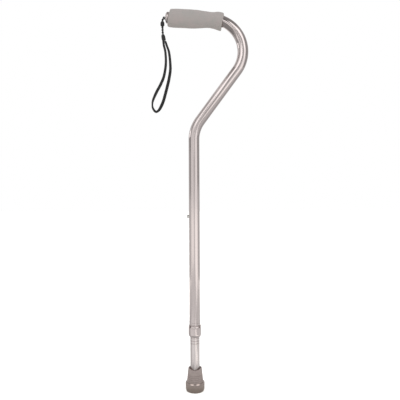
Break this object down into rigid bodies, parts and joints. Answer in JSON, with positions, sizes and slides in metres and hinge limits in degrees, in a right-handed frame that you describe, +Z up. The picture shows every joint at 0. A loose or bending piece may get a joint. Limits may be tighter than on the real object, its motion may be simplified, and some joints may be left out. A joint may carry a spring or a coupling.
{
  "type": "offset cane",
  "caption": "Height-adjustable offset walking cane with a telescopic leg, snap button, collar lock, contoured foam grip, wrist strap and rubber tip.",
  "frame": {"origin": "centre of the rubber tip's lower face, on the floor, on the shaft's axis", "axes": "+Z up the shaft's axis; -X is the way the handle's free end points, with the strap; the handle's offset bows out to +X; the snap button faces -X; Y is across the handle"},
  "size_m": [0.1979, 0.039, 0.778],
  "materials": {
    "anodised_tube": "satin",
    "leg_tube": "satin",
    "grip_foam": "matte",
    "polished_plug": "gloss",
    "spring_steel": "satin",
    "ring_plastic": "matte",
    "tip_rubber": "matte",
    "strap_black": "matte",
    "bead_black": "matte"
  },
  "bodies": {
    "leg": {"lower_tube": "leg_tube", "rubber_tip": "tip_rubber", "tip_washer": "spring_steel", "snap_spring": "spring_steel"},
    "button": {"snap_button": "spring_steel"},
    "shaft": {"upper_tube": "anodised_tube", "foam_grip": "grip_foam", "end_plug": "polished_plug", "collar_ring": "ring_plastic"},
    "collar": {"collar_nut": "anodised_tube"},
    "strap": {"strap_knot": "strap_black", "strap_cord": "strap_black", "strap_bead": "bead_black", "strap_crimp": "bead_black", "strap_loop": "strap_black"}
  },
  "joints": [
    {"name": "height_slide", "type": "slide", "parent": "leg", "child": "shaft", "axis": [0, 0, 1], "range_m": [0, 0.2032], "deforming": ["snap_button"]},
    {"name": "button_press", "type": "slide", "parent": "leg", "child": "button", "axis": [1, 0, 0], "range_m": [0, 0.0059], "stiffness_N_per_m": 1500, "deforming": ["snap_spring"]},
    {"name": "collar_turn", "type": "hinge", "parent": "shaft", "child": "collar", "pos_m": [0, 0, 0.11], "axis": [0, 0, 1], "range_deg": [-360, 0]},
    {"name": "strap_swing", "type": "hinge", "parent": "shaft", "child": "strap", "pos_m": [-0.05112, 0, 0.75984], "axis": [-0.9997, 0, 0.0262], "range_deg": [-180, 180]}
  ]
}
